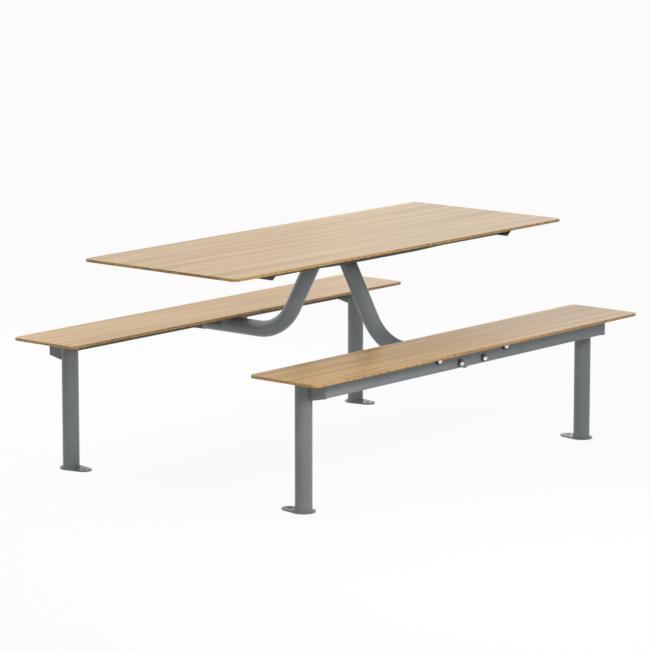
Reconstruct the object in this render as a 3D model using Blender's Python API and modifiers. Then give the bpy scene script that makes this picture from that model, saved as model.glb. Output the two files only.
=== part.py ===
"""Table with two attached benches: three boards on a welded and bolted steel frame.

Metres, +Z up. X runs along the table, Y across it, and the origin is on the floor under its middle.
"""

import math

import bmesh
import bpy
from mathutils import Matrix, Vector

# Clearance between pieces that touch, and between a shank and its hole
GAP = 0.0003
HOLE_PLAY = 0.0005

# Boards
TABLE_LENGTH = 1.750
TABLE_WIDTH = 0.666
TABLE_HEIGHT = 0.750
TABLE_THICKNESS = 0.010
SEAT_LENGTH = 1.750
SEAT_WIDTH = 0.280
SEAT_HEIGHT = 0.4485
SEAT_THICKNESS = 0.010
SEAT_OUTER_Y = 0.666
BOARD_CORNER_RADIUS = 0.020
BOARD_ARRIS = 0.0015

# Legs, with the plates at their feet and tops
LEG_SETBACK = 0.1185
LEG_INSET = 0.1514
LEG_DIAMETER = 0.057
LEG_WALL = 0.003
BASE_THICKNESS = 0.006
BASE_HEEL_RADIUS = 0.039
BASE_TOE_RADIUS = 0.028
BASE_TOE_REACH = 0.057
ANCHOR_HOLE_DIAMETER = 0.015
BASE_ARRIS = 0.001
LEG_CAP_THICKNESS = 0.006
LEG_CAP_LENGTH = 0.110
LEG_CAP_WIDTH = 0.110
LEG_CAP_CORNER = 0.012

# Folded beam along the outer side of each bench
BEAM_OVERHANG = 0.058
BEAM_DEPTH = 0.0586
BEAM_FLANGE = 0.033
BEAM_LIP = 0.0225
BEAM_SHEET = 0.004
BEAM_FOLD_RADIUS = 0.006
END_PLATE_THICKNESS = 0.008
END_PLATE_DROP = 0.0135
END_PLATE_OUTSET = 0.0025

# Bent arm tubes
ARM_DIAMETER = 0.057
ARM_WALL = 0.003
ARM_RUN_RISE = 0.0189
ARM_KNEE_Y = 0.224
ARM_RISE_ANGLE = math.radians(61)
ARM_BEND_RADIUS = 0.176

# Socket and bolting flange at the outer end of each arm, and the dome-headed bolts
SOCKET_WIDTH = 0.159
SOCKET_DEPTH = 0.070
SOCKET_ROOM = 0.013
SOCKET_SHEET = 0.004
FLANGE_THICKNESS = 0.008
FLANGE_CORNER = 0.006
BOLT_EDGE = 0.0125
BOLT_TOP_EDGE = 0.0109
LOWER_BOLT_X = 0.0635
LOWER_BOLT_RISE = 0.0175
UPPER_BOLT_X = 0.181
UPPER_BOLT_RISE = 0.0414
BOLT_DIAMETER = 0.012
BOLT_COLLAR_DIAMETER = 0.0264
BOLT_COLLAR_HEIGHT = 0.0055
BOLT_DOME_DIAMETER = 0.018
BOLT_HEAD_HEIGHT = 0.0135
BOLT_DOME_RIM = 0.001
BOLT_TAIL = 0.002
NUT_ACROSS_FLATS = 0.019
NUT_HEIGHT = 0.010

# Bracket on each arm, under the inner half of the seat
BRACKET_INSET = 0.056
BRACKET_LENGTH = 0.135
BRACKET_DEPTH = 0.0322
BRACKET_SHELF = 0.036
BRACKET_SHEET = 0.004
BRACKET_FOLD_RADIUS = 0.006

# Frame under the tabletop
CROSSBAR_SETBACK = 0.243
CROSSBAR_END_INSET = 0.033
CROSSBAR_DEPTH = 0.0295
CROSSBAR_LEDGE = 0.035
CROSSBAR_SHEET = 0.005
CROSSBAR_CUT = 0.0235
FRAME_BAR_WIDTH = 0.040
FRAME_BAR_DEPTH = 0.025
FRAME_BAR_WALL = 0.003
RAIL_INSET = 0.083
PAN_SHEET = 0.005
PAN_FOLD_RADIUS = 0.008
PAN_LENGTH = 0.720
PAN_DEPTH = 0.0387
PAN_LEVEL_LENGTH = 0.400
PAN_END_DEPTH = 0.0347

# Head plate on the arms, and the countersunk bolts that hold the pan on it
HEAD_LENGTH = 0.210
HEAD_WIDTH = 0.200
HEAD_THICKNESS = 0.008
HEAD_CORNER = 0.015
HEAD_BOLT_X = 0.080
HEAD_BOLT_Y = 0.075
HEAD_BOLT_DIAMETER = 0.008
HEAD_BOLT_SINK_DIAMETER = 0.0165
HEAD_BOLT_SINK_DEPTH = 0.0040
HEAD_BOLT_TAIL = 0.002
HEAD_NUT_ACROSS_FLATS = 0.013
HEAD_NUT_HEIGHT = 0.0065

# How finely round shapes are divided
TUBE_SIDES = 28
BEND_STEPS = 12
CORNER_STEPS = 5
HOLE_SIDES = 16
BOLT_STEPS = 20
DOME_STEPS = 4
BOARD_ARRIS_STEPS = 2
BASE_ARRIS_STEPS = 1
SHARP_ANGLE = math.radians(35)
ARRIS_ANGLE = math.radians(60)
MERGE_DISTANCE = 0.00001

# Places that follow from the sizes above
SEAT_UNDERSIDE = SEAT_HEIGHT - SEAT_THICKNESS
SEAT_Y = SEAT_OUTER_Y - SEAT_WIDTH / 2
SEAT_SUPPORT_Z = SEAT_UNDERSIDE - GAP
LEG_X = SEAT_LENGTH / 2 - LEG_SETBACK
LEG_Y = SEAT_OUTER_Y - LEG_INSET
WEB_OUTER_Y = SEAT_OUTER_Y - BEAM_OVERHANG
WEB_INNER_Y = WEB_OUTER_Y - BEAM_SHEET
WEB_BOTTOM_Z = SEAT_SUPPORT_Z - BEAM_DEPTH
END_PLATE_FACE_X = LEG_X + END_PLATE_OUTSET
BEAM_HALF_LENGTH = END_PLATE_FACE_X - END_PLATE_THICKNESS - GAP
LEG_TOP_Z = SEAT_SUPPORT_Z - LEG_CAP_THICKNESS - GAP
LEG_FOOT_Z = BASE_THICKNESS + GAP
ARM_RUN_Z = WEB_BOTTOM_Z + ARM_RUN_RISE
FLANGE_FACE_Y = WEB_INNER_Y - GAP
FLANGE_BACK_Y = FLANGE_FACE_Y - FLANGE_THICKNESS
FLANGE_BOTTOM_Z = WEB_BOTTOM_Z + BEAM_FOLD_RADIUS + GAP
SOCKET_PLATE_Y = FLANGE_BACK_Y - SOCKET_ROOM
ARM_END_Y = SOCKET_PLATE_Y - SOCKET_SHEET - GAP
LOWER_BOLT_Z = WEB_BOTTOM_Z + LOWER_BOLT_RISE
UPPER_BOLT_Z = WEB_BOTTOM_Z + UPPER_BOLT_RISE
FLANGE_TOP_Z = UPPER_BOLT_Z + BOLT_TOP_EDGE
BRACKET_Y = SEAT_OUTER_Y - SEAT_WIDTH + BRACKET_INSET
TABLE_UNDERSIDE = TABLE_HEIGHT - TABLE_THICKNESS
TABLE_SUPPORT_Z = TABLE_UNDERSIDE - GAP
CROSSBAR_X = TABLE_LENGTH / 2 - CROSSBAR_SETBACK
CROSSBAR_LENGTH = TABLE_WIDTH - 2 * CROSSBAR_END_INSET
RAIL_OUTER_Y = TABLE_WIDTH / 2 - RAIL_INSET
RAIL_INNER_Y = RAIL_OUTER_Y - FRAME_BAR_WIDTH
RAIL_HALF_LENGTH = CROSSBAR_X - CROSSBAR_SHEET - GAP
PAN_HALF_WIDTH = RAIL_INNER_Y - GAP
HEAD_TOP_Z = TABLE_SUPPORT_Z - PAN_SHEET - GAP
HEAD_BOTTOM_Z = HEAD_TOP_Z - HEAD_THICKNESS
ARM_TOP_Z = HEAD_BOTTOM_Z - GAP

ENDS = (("left", -1), ("right", 1))
SIDES = (("front", -1), ("rear", 1))


def clear_scene():
    for old in list(bpy.data.objects):
        bpy.data.objects.remove(old, do_unlink=True)


def new_collection(name):
    collection = bpy.data.collections.new(name)
    bpy.context.scene.collection.children.link(collection)
    return collection


def new_material(name, colour, roughness, metallic):
    material = bpy.data.materials.new(name)
    material.use_nodes = True
    shader = material.node_tree.nodes["Principled BSDF"]
    shader.inputs["Base Color"].default_value = (*colour, 1.0)
    shader.inputs["Roughness"].default_value = roughness
    shader.inputs["Metallic"].default_value = metallic
    return material


clear_scene()
PARTS = new_collection("table_with_benches")
CUTTERS = new_collection("cutters")
FRAME = bpy.data.objects.new("table_frame", None)
PARTS.objects.link(FRAME)

TABLE_WOOD = new_material("tabletop_wood", (0.50, 0.33, 0.15), 0.30, 0.0)
SEAT_WOOD = new_material("seat_wood", (0.50, 0.33, 0.15), 0.30, 0.0)
TUBE_COAT = new_material("tube_grey_coat", (0.143, 0.160, 0.167), 0.30, 0.0)
SHEET_COAT = new_material("sheet_grey_coat", (0.143, 0.160, 0.167), 0.30, 0.0)
BASE_COAT = new_material("base_grey_coat", (0.143, 0.160, 0.167), 0.30, 0.0)
UNDER_COAT = new_material("under_table_dark_coat", (0.022, 0.025, 0.030), 0.30, 0.0)
DOME_STEEL = new_material("dome_bolt_steel", (0.72, 0.72, 0.70), 0.25, 1.0)
NUT_STEEL = new_material("nut_steel", (0.60, 0.60, 0.58), 0.35, 1.0)


def place(obj, material, matrix):
    """Puts a piece in the parts' collection, under the frame, with its material."""
    obj.data.materials.clear()
    obj.data.materials.append(material)
    PARTS.objects.link(obj)
    obj.parent = FRAME
    obj.matrix_world = matrix
    return obj


def shade_round(mesh):
    mesh.shade_smooth()
    mesh.set_sharp_from_angle(angle=SHARP_ANGLE)


def mesh_from_bmesh(name, solid):
    mesh = bpy.data.meshes.new(name)
    bmesh.ops.recalc_face_normals(solid, faces=solid.faces)
    solid.to_mesh(mesh)
    solid.free()
    return mesh


def circle(centre_x, centre_y, radius, sides):
    """Points of a full circle, counter-clockwise."""
    turns = [2 * math.pi * step / sides for step in range(sides)]
    return [(centre_x + radius * math.cos(turn), centre_y + radius * math.sin(turn)) for turn in turns]


def arc(centre_x, centre_y, radius, start, end, steps):
    """Points along an arc from one angle to another, both ends included."""
    turns = [start + (end - start) * step / steps for step in range(steps + 1)]
    return [(centre_x + radius * math.cos(turn), centre_y + radius * math.sin(turn)) for turn in turns]


def rounded_corner(before, corner, after, radius):
    """Points of the arc that rounds one corner of an outline."""
    back = (Vector(before) - Vector(corner)).normalized()
    ahead = (Vector(after) - Vector(corner)).normalized()
    half_angle = back.angle(ahead) / 2
    reach = radius / math.tan(half_angle)
    centre = Vector(corner) + (back + ahead).normalized() * (radius / math.sin(half_angle))
    first = Vector(corner) + back * reach - centre
    last = Vector(corner) + ahead * reach - centre
    start = math.atan2(first.y, first.x)
    sweep = math.remainder(math.atan2(last.y, last.x) - start, 2 * math.pi)
    return arc(centre.x, centre.y, radius, start, start + sweep, CORNER_STEPS)


def rounded_outline(corners, radius):
    """A closed outline with every corner rounded by the same radius."""
    points = []
    for index, corner in enumerate(corners):
        after = corners[(index + 1) % len(corners)]
        points += rounded_corner(corners[index - 1], corner, after, radius)
    return points


def rectangle(length, width):
    half_x = length / 2
    half_y = width / 2
    return [(-half_x, -half_y), (half_x, -half_y), (half_x, half_y), (-half_x, half_y)]


def flat_piece(name, outline, thickness, holes=(), arris=0.0, arris_steps=1):
    """A plate from its outline and its holes, lying in XY with its mid-plane at zero height."""
    curve = bpy.data.curves.new(name, "CURVE")
    curve.dimensions = "2D"
    curve.fill_mode = "BOTH"
    curve.extrude = thickness / 2
    for points in (outline, *holes):
        spline = curve.splines.new("POLY")
        spline.points.add(len(points) - 1)
        for point, (x, y) in zip(spline.points, points):
            point.co = (x, y, 0, 1)
        spline.use_cyclic_u = True
    plate = bpy.data.objects.new(name, curve)
    weld = plate.modifiers.new("weld", "WELD")
    weld.merge_threshold = MERGE_DISTANCE
    if arris:
        bevel = plate.modifiers.new("arris", "BEVEL")
        bevel.width = arris
        bevel.segments = arris_steps
        bevel.limit_method = "ANGLE"
        bevel.angle_limit = ARRIS_ANGLE
    return plate


def turn_outward(solid):
    """Turns the faces of a folded surface so that they look away from its middle."""
    bmesh.ops.recalc_face_normals(solid, faces=solid.faces)
    middle = sum((vertex.co for vertex in solid.verts), Vector()) / len(solid.verts)
    facing = sum((face.calc_center_median() - middle).dot(face.normal) for face in solid.faces)
    if facing < 0:
        bmesh.ops.reverse_faces(solid, faces=solid.faces)


def folded_sheet(name, profile, stations, thickness):
    """A folded sheet: its outer face follows the (Y, Z) profile and runs through the stations along X."""
    solid = bmesh.new()
    points = [solid.verts.new((stations[0], y, z)) for y, z in profile]
    edges = [solid.edges.new(pair) for pair in zip(points, points[1:])]
    for start, end in zip(stations, stations[1:]):
        grown = bmesh.ops.extrude_edge_only(solid, edges=edges)["geom"]
        moved = [part for part in grown if isinstance(part, bmesh.types.BMVert)]
        edges = [part for part in grown if isinstance(part, bmesh.types.BMEdge)]
        bmesh.ops.translate(solid, verts=moved, vec=(end - start, 0, 0))
    turn_outward(solid)
    mesh = bpy.data.meshes.new(name)
    solid.to_mesh(mesh)
    solid.free()
    sheet = bpy.data.objects.new(name, mesh)
    shell = sheet.modifiers.new("sheet", "SOLIDIFY")
    shell.thickness = thickness
    shell.offset = -1
    shell.use_even_offset = True
    return sheet


def turned_piece(name, profile):
    """A turned piece from its profile of (radius, height), listed from the top down."""
    mesh = bpy.data.meshes.new(name)
    points = [(radius, 0, height) for radius, height in profile]
    mesh.from_pydata(points, [(step, step + 1) for step in range(len(points) - 1)], [])
    piece = bpy.data.objects.new(name, mesh)
    screw = piece.modifiers.new("turn", "SCREW")
    screw.steps = BOLT_STEPS
    screw.render_steps = BOLT_STEPS
    screw.use_merge_vertices = True
    screw.merge_threshold = MERGE_DISTANCE
    screw.use_smooth_shade = True
    return piece


def box_mesh(name, size):
    solid = bmesh.new()
    bmesh.ops.create_cube(solid, size=1.0)
    bmesh.ops.scale(solid, vec=size, verts=solid.verts)
    return mesh_from_bmesh(name, solid)


def mesh_piece_from(curve_piece):
    """Turns a curve piece into a mesh piece of the same name and place, so that it can be cut."""
    PARTS.objects.link(curve_piece)
    bpy.context.view_layer.update()
    graph = bpy.context.evaluated_depsgraph_get()
    mesh = bpy.data.meshes.new_from_object(curve_piece.evaluated_get(graph))
    solid = bmesh.new()
    solid.from_mesh(mesh)
    bmesh.ops.remove_doubles(solid, verts=solid.verts, dist=MERGE_DISTANCE)
    solid.to_mesh(mesh)
    solid.free()
    name = curve_piece.name
    bpy.data.objects.remove(curve_piece, do_unlink=True)
    mesh.name = name
    return bpy.data.objects.new(name, mesh)


def cut(piece, cutter, matrix):
    """Cuts a piece with a helper object, kept out of sight."""
    CUTTERS.objects.link(cutter)
    cutter.matrix_world = matrix
    cutter.hide_render = True
    cutter.display_type = "WIRE"
    boolean = piece.modifiers.new(cutter.name, "BOOLEAN")
    boolean.operation = "DIFFERENCE"
    boolean.solver = "EXACT"
    boolean.object = cutter


def box_cutter(name, size):
    return bpy.data.objects.new(name, box_mesh(name, size))


def round_cutter(name, diameter, length, sides):
    """A many-sided rod whose flats, not its corners, lie on the diameter."""
    solid = bmesh.new()
    radius = diameter / 2 / math.cos(math.pi / sides)
    bmesh.ops.create_cone(
        solid, cap_ends=True, segments=sides, radius1=radius, radius2=radius, depth=length
    )
    return bpy.data.objects.new(name, mesh_from_bmesh(name, solid))


def at(x, y, z):
    return Matrix.Translation((x, y, z))


def upright_along_y(side):
    """Turns a flat piece drawn in XY so that it stands in XZ, with its top face looking outward along Y."""
    half_turn = Matrix.Rotation(math.pi, 4, "Z") if side > 0 else Matrix.Identity(4)
    return half_turn @ Matrix.Rotation(math.pi / 2, 4, "X")


def add_board(name, length, width, thickness, y, top, material):
    outline = rounded_outline(rectangle(length, width), BOARD_CORNER_RADIUS)
    board = flat_piece(name, outline, thickness, arris=BOARD_ARRIS, arris_steps=BOARD_ARRIS_STEPS)
    place(board, material, at(0, y, top - thickness / 2))


def add_leg(name, x, y):
    length = LEG_TOP_Z - LEG_FOOT_Z
    solid = bmesh.new()
    radius = LEG_DIAMETER / 2
    bmesh.ops.create_cone(
        solid, cap_ends=False, segments=TUBE_SIDES, radius1=radius, radius2=radius, depth=length
    )
    mesh = mesh_from_bmesh(name, solid)
    shade_round(mesh)
    leg = bpy.data.objects.new(name, mesh)
    shell = leg.modifiers.new("wall", "SOLIDIFY")
    shell.thickness = LEG_WALL
    shell.offset = -1
    shell.use_even_offset = True
    place(leg, TUBE_COAT, at(x, y, LEG_FOOT_Z + length / 2))


def base_outline():
    """A large round heel at zero and a small round toe along +X, joined by their tangents."""
    lean = math.acos((BASE_HEEL_RADIUS - BASE_TOE_RADIUS) / BASE_TOE_REACH)
    steps = 2 * CORNER_STEPS
    heel = arc(0, 0, BASE_HEEL_RADIUS, lean, 2 * math.pi - lean, 2 * steps)
    toe = arc(BASE_TOE_REACH, 0, BASE_TOE_RADIUS, -lean, lean, steps)
    return heel + toe


def add_base_plate(name, x, y, side):
    hole = circle(BASE_TOE_REACH, 0, ANCHOR_HOLE_DIAMETER / 2, HOLE_SIDES)
    plate = flat_piece(
        name, base_outline(), BASE_THICKNESS, (hole,), arris=BASE_ARRIS, arris_steps=BASE_ARRIS_STEPS
    )
    inward = Matrix.Rotation(-side * math.pi / 2, 4, "Z")
    place(plate, BASE_COAT, at(x, y, BASE_THICKNESS / 2) @ inward)


def add_leg_cap(name, x, y):
    outline = rounded_outline(rectangle(LEG_CAP_LENGTH, LEG_CAP_WIDTH), LEG_CAP_CORNER)
    cap = flat_piece(name, outline, LEG_CAP_THICKNESS)
    place(cap, SHEET_COAT, at(x, y, SEAT_SUPPORT_Z - LEG_CAP_THICKNESS / 2))


def add_end_plate(name, end, side):
    """Closes the beam's end: it runs from the leg to the beam's outer face, and hangs lower at the leg."""
    leg_y = LEG_Y + LEG_DIAMETER / 2 + GAP
    outline = [
        (leg_y, WEB_BOTTOM_Z - END_PLATE_DROP),
        (WEB_OUTER_Y, WEB_BOTTOM_Z),
        (WEB_OUTER_Y, LEG_TOP_Z),
        (leg_y, LEG_TOP_Z),
    ]
    outline = [(side * y, z) for y, z in outline]
    plate = flat_piece(name, outline, END_PLATE_THICKNESS)
    stand = Matrix.Rotation(math.pi / 2, 4, "Z") @ Matrix.Rotation(math.pi / 2, 4, "X")
    place(plate, SHEET_COAT, at(end * (END_PLATE_FACE_X - END_PLATE_THICKNESS / 2), 0, 0) @ stand)


def flange_corners():
    """The arm flange from outside: a bar across the upper bolts, deeper in its middle for the lower pair."""
    bar_half = UPPER_BOLT_X + BOLT_EDGE
    bar_bottom = UPPER_BOLT_Z - BOLT_EDGE
    middle_half = LOWER_BOLT_X + BOLT_EDGE
    right = [
        (middle_half, FLANGE_BOTTOM_Z),
        (middle_half, bar_bottom),
        (bar_half, bar_bottom),
        (bar_half, FLANGE_TOP_Z),
    ]
    left = [(-x, z) for x, z in reversed(right)]
    return right + left


def arm_bolt_places():
    for _, end in ENDS:
        yield end * LOWER_BOLT_X, LOWER_BOLT_Z
        yield end * UPPER_BOLT_X, UPPER_BOLT_Z


def add_arm_flange(name, side):
    corners = flange_corners()
    hole_radius = BOLT_DIAMETER / 2 + HOLE_PLAY
    holes = [circle(x, z, hole_radius, HOLE_SIDES) for x, z in arm_bolt_places()]
    plate = flat_piece(name, rounded_outline(corners, FLANGE_CORNER), FLANGE_THICKNESS, holes=holes)
    y = side * (FLANGE_FACE_Y + FLANGE_BACK_Y) / 2
    place(plate, SHEET_COAT, at(0, y, 0) @ upright_along_y(side))


def add_arm_socket(name, side):
    """Two cheeks behind the flange, and between them the plate that the arm ends on."""
    outer_y = FLANGE_BACK_Y - GAP
    inner_y = outer_y - SOCKET_DEPTH
    half = SOCKET_WIDTH / 2
    room = half - SOCKET_SHEET
    plate_back = SOCKET_PLATE_Y - SOCKET_SHEET
    right = [
        (room, plate_back), (room, inner_y), (half, inner_y), (half, outer_y), (room, outer_y),
        (room, SOCKET_PLATE_Y),
    ]
    left = [(-x, y) for x, y in reversed(right)]
    outline = [(x, side * y) for x, y in right + left]
    socket = flat_piece(name, outline, FLANGE_TOP_Z - FLANGE_BOTTOM_Z)
    place(socket, SHEET_COAT, at(0, 0, (FLANGE_TOP_Z + FLANGE_BOTTOM_Z) / 2))


def add_beam(name, side):
    low = WEB_BOTTOM_Z + BEAM_FOLD_RADIUS
    high = SEAT_SUPPORT_Z - BEAM_FOLD_RADIUS
    fold_y = WEB_OUTER_Y - BEAM_FOLD_RADIUS
    profile = [(WEB_OUTER_Y - BEAM_LIP, WEB_BOTTOM_Z)]
    profile += arc(fold_y, low, BEAM_FOLD_RADIUS, -math.pi / 2, 0, CORNER_STEPS)
    profile += arc(fold_y, high, BEAM_FOLD_RADIUS, 0, math.pi / 2, CORNER_STEPS)
    profile += [(WEB_OUTER_Y - BEAM_FLANGE, SEAT_SUPPORT_Z)]
    profile = [(side * y, z) for y, z in profile]
    beam = folded_sheet(name, profile, (-BEAM_HALF_LENGTH, BEAM_HALF_LENGTH), BEAM_SHEET)
    place(beam, SHEET_COAT, Matrix.Identity(4))
    for index, (x, z) in enumerate(arm_bolt_places()):
        hole_diameter = BOLT_DIAMETER + 2 * HOLE_PLAY
        cutter = round_cutter(f"{name}_bolt_hole_{index}", hole_diameter, BEAM_FLANGE, HOLE_SIDES)
        cut(beam, cutter, at(x, side * WEB_OUTER_Y, z) @ upright_along_y(side))


def arm_path():
    """Centre line of an arm as (Y, Z): level from the bench, a bend, and a straight rise to the head."""
    reach = ARM_BEND_RADIUS * math.tan(ARM_RISE_ANGLE / 2)
    bend_y = ARM_KNEE_Y + reach
    bend_z = ARM_RUN_Z + ARM_BEND_RADIUS
    start = -math.pi / 2
    bend = arc(bend_y, bend_z, ARM_BEND_RADIUS, start, start - ARM_RISE_ANGLE, BEND_STEPS)
    over = ARM_DIAMETER
    rise = ARM_TOP_Z + over - ARM_RUN_Z
    top = (ARM_KNEE_Y - rise / math.tan(ARM_RISE_ANGLE), ARM_TOP_Z + over)
    return [(ARM_END_Y, ARM_RUN_Z), *bend, top]


def add_arm(name, side):
    curve = bpy.data.curves.new(name, "CURVE")
    curve.dimensions = "3D"
    curve.bevel_depth = ARM_DIAMETER / 2
    curve.bevel_resolution = TUBE_SIDES // 2 - 2
    path = arm_path()
    spline = curve.splines.new("POLY")
    spline.points.add(len(path) - 1)
    for point, (y, z) in zip(spline.points, path):
        point.co = (0, side * y, z, 1)
    arm = mesh_piece_from(bpy.data.objects.new(name, curve))
    shade_round(arm.data)
    shell = arm.modifiers.new("wall", "SOLIDIFY")
    shell.thickness = ARM_WALL
    shell.offset = -1
    shell.use_even_offset = True
    place(arm, TUBE_COAT, Matrix.Identity(4))
    room = 4 * ARM_DIAMETER
    above = box_cutter(f"{name}_top_cut", (room, 2 * ARM_KNEE_Y + room, room))
    cut(arm, above, at(0, 0, ARM_TOP_Z + room / 2))


def add_bracket(name, side):
    """An angle across the arm: a shelf under the seat and a web that stands on the tube."""
    low = SEAT_SUPPORT_Z - BRACKET_DEPTH
    high = SEAT_SUPPORT_Z - BRACKET_FOLD_RADIUS
    fold_y = BRACKET_Y + BRACKET_FOLD_RADIUS
    profile = [(BRACKET_Y, low)]
    profile += arc(fold_y, high, BRACKET_FOLD_RADIUS, math.pi, math.pi / 2, CORNER_STEPS)
    profile += [(BRACKET_Y + BRACKET_SHELF, SEAT_SUPPORT_Z)]
    profile = [(side * y, z) for y, z in profile]
    half = BRACKET_LENGTH / 2
    bracket = folded_sheet(name, profile, (-half, half), BRACKET_SHEET)
    place(bracket, SHEET_COAT, Matrix.Identity(4))
    saddle = round_cutter(f"{name}_saddle", ARM_DIAMETER + 2 * GAP, 4 * BRACKET_SHELF, TUBE_SIDES)
    cut(bracket, saddle, at(0, side * BRACKET_Y, ARM_RUN_Z) @ upright_along_y(side))


def dome_profile(length):
    """A bolt with a dome on a wider collar: its seat is at zero height and its shank below."""
    half = BOLT_DOME_DIAMETER / 2
    rise = BOLT_HEAD_HEIGHT - BOLT_COLLAR_HEIGHT - BOLT_DOME_RIM
    ball = (half * half + rise * rise) / (2 * rise)
    top = math.asin(half / ball)
    profile = []
    for step in range(DOME_STEPS + 1):
        turn = top * step / DOME_STEPS
        profile.append((ball * math.sin(turn), BOLT_HEAD_HEIGHT - ball + ball * math.cos(turn)))
    collar = BOLT_COLLAR_DIAMETER / 2
    shank = BOLT_DIAMETER / 2
    profile += [(half, BOLT_COLLAR_HEIGHT), (collar, BOLT_COLLAR_HEIGHT), (collar, 0)]
    profile += [(shank, 0), (shank, -length), (0, -length)]
    return profile


def hexagon(across_flats):
    corner = across_flats / math.sqrt(3)
    return circle(0, 0, corner, 6)


def add_arm_bolts(side_name, side):
    """The bolts enter from outside, through the beam's web and the arm's flange, into nuts."""
    grip = BEAM_SHEET + GAP + FLANGE_THICKNESS
    length = GAP + grip + GAP + NUT_HEIGHT + BOLT_TAIL
    nut_y = WEB_OUTER_Y - grip - GAP - NUT_HEIGHT / 2
    nut_hole = circle(0, 0, BOLT_DIAMETER / 2 + GAP, HOLE_SIDES)
    labels = ("lower_left", "upper_left", "lower_right", "upper_right")
    for label, (x, z) in zip(labels, arm_bolt_places()):
        bolt = turned_piece(f"arm_bolt_{side_name}_{label}", dome_profile(length))
        place(bolt, DOME_STEEL, at(x, side * (WEB_OUTER_Y + GAP), z) @ upright_along_y(side))
        nut = flat_piece(
            f"arm_nut_{side_name}_{label}", hexagon(NUT_ACROSS_FLATS), NUT_HEIGHT, holes=(nut_hole,)
        )
        place(nut, NUT_STEEL, at(x, side * nut_y, z) @ upright_along_y(side))


def add_crossbar(name, end):
    """An angle across the table: a ledge under the board, and a leg that is cut back at both ends."""
    top = TABLE_SUPPORT_Z
    ledge = top - CROSSBAR_SHEET
    inner = CROSSBAR_X - CROSSBAR_SHEET
    outer = CROSSBAR_X + CROSSBAR_LEDGE
    outline = [(inner, top - CROSSBAR_DEPTH), (CROSSBAR_X, top - CROSSBAR_DEPTH), (CROSSBAR_X, ledge)]
    outline += [(outer, ledge), (outer, top), (inner, top)]
    outline = [(end * x, z) for x, z in outline]
    bar = mesh_piece_from(flat_piece(name, outline, CROSSBAR_LENGTH))
    for vertex in bar.data.vertices:
        cut_back = CROSSBAR_CUT * (top - vertex.co.y) / CROSSBAR_DEPTH
        vertex.co.z -= math.copysign(cut_back, vertex.co.z)
    place(bar, UNDER_COAT, Matrix.Rotation(math.pi / 2, 4, "X"))


def bar_bore(length):
    return length, FRAME_BAR_WIDTH - 2 * FRAME_BAR_WALL, FRAME_BAR_DEPTH - 2 * FRAME_BAR_WALL


def add_rail(name, side):
    size = (2 * RAIL_HALF_LENGTH, FRAME_BAR_WIDTH, FRAME_BAR_DEPTH)
    rail = bpy.data.objects.new(name, box_mesh(name, size))
    middle = at(0, side * (RAIL_OUTER_Y - FRAME_BAR_WIDTH / 2), TABLE_SUPPORT_Z - FRAME_BAR_DEPTH / 2)
    place(rail, UNDER_COAT, middle)
    cut(rail, box_cutter(f"{name}_bore", bar_bore(4 * RAIL_HALF_LENGTH)), middle)


def head_bolt_places():
    for _, end in ENDS:
        for _, side in SIDES:
            yield end * HEAD_BOLT_X, side * HEAD_BOLT_Y


def add_pan(name):
    """A sheet folded down along both long edges, deepest over the arms, between the rails."""
    fold_y = PAN_HALF_WIDTH - PAN_FOLD_RADIUS
    fold_z = TABLE_SUPPORT_Z - PAN_FOLD_RADIUS
    bottom = TABLE_SUPPORT_Z - PAN_DEPTH
    half_profile = arc(fold_y, fold_z, PAN_FOLD_RADIUS, 0, math.pi / 2, CORNER_STEPS)
    profile = [(PAN_HALF_WIDTH, bottom), *half_profile]
    profile += [(-y, z) for y, z in reversed(profile)]
    half = PAN_LENGTH / 2
    level = PAN_LEVEL_LENGTH / 2
    pan = folded_sheet(name, profile, (-half, -level, level, half), PAN_SHEET)
    middle_of_skirt = (bottom + fold_z) / 2
    for vertex in pan.data.vertices:
        if vertex.co.z < middle_of_skirt and abs(vertex.co.x) > (half + level) / 2:
            vertex.co.z = TABLE_SUPPORT_Z - PAN_END_DEPTH
    place(pan, UNDER_COAT, Matrix.Identity(4))
    for index, (x, y) in enumerate(head_bolt_places()):
        cutter = turned_piece(f"{name}_bolt_hole_{index}", countersunk_profile(HOLE_PLAY, 2 * PAN_SHEET))
        cut(pan, cutter, at(x, y, TABLE_SUPPORT_Z))


def countersunk_profile(play, length):
    """A flush countersunk bolt, or with some play the hole for it, with its top at zero height."""
    sink = HEAD_BOLT_SINK_DIAMETER / 2 + play
    shank = HEAD_BOLT_DIAMETER / 2 + play
    profile = [(sink, 0), (shank, -HEAD_BOLT_SINK_DEPTH), (shank, -length), (0, -length)]
    if play:
        return [(0, PAN_SHEET), (sink, PAN_SHEET), *profile]
    return [(0, 0), *profile]


def add_head_plate(name):
    outline = rounded_outline(rectangle(HEAD_LENGTH, HEAD_WIDTH), HEAD_CORNER)
    hole_radius = HEAD_BOLT_DIAMETER / 2 + HOLE_PLAY
    holes = [circle(x, y, hole_radius, HOLE_SIDES) for x, y in head_bolt_places()]
    plate = flat_piece(name, outline, HEAD_THICKNESS, holes=holes)
    place(plate, SHEET_COAT, at(0, 0, HEAD_TOP_Z - HEAD_THICKNESS / 2))


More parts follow.
